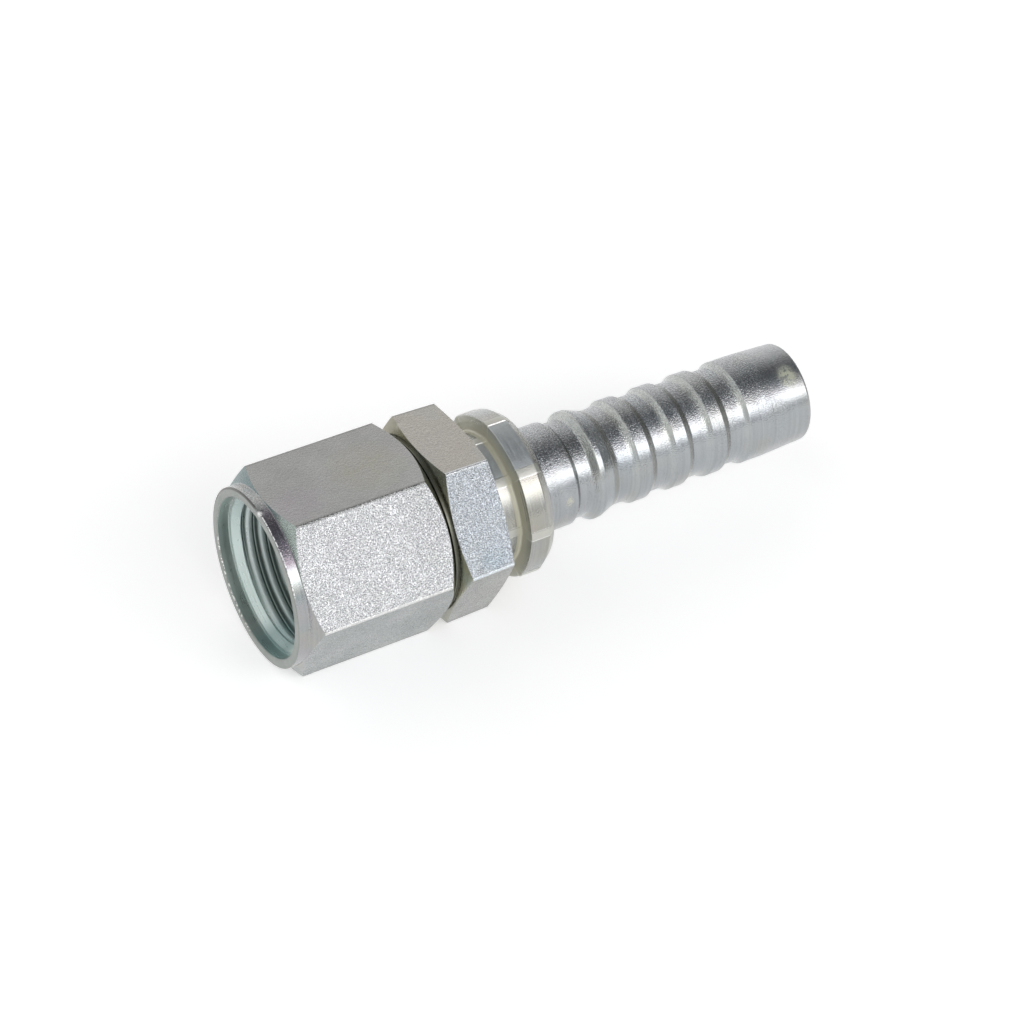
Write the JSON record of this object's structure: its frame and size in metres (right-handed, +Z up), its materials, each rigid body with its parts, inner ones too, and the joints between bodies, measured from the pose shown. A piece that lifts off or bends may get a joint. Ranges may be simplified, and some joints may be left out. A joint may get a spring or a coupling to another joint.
{
  "type": "crimp hose fitting",
  "caption": "Crimp hose fitting: a swivel hexagon nut with a flare seat, a crimped hexagon sleeve with a ferrule collar, and a ribbed hose tail.",
  "frame": {"origin": "on the fitting's axis, where the nut's thread wall begins, 2.35 mm inside the mouth", "axes": "+X along the axis from the nut to the hose tail, +Z up, square to the hexagon flats that the part lies on"},
  "size_m": [0.0726, 0.0256, 0.0222],
  "materials": {
    "zinc_nut": "zinc plated, fine orange-peel grain",
    "zinc_tail": "bright zinc plated, turned",
    "zinc_sleeve": "zinc plated with an olive passivation tint"
  },
  "bodies": {
    "body": {"insert": "zinc_tail", "hex_sleeve": "zinc_sleeve"},
    "nut": {"swivel_nut": "zinc_nut"}
  },
  "joints": [
    {"name": "nut_swivel", "type": "hinge", "parent": "body", "child": "nut", "pos_m": [0.016, 0, 0], "axis": [1, 0, 0], "continuous": true}
  ]
}
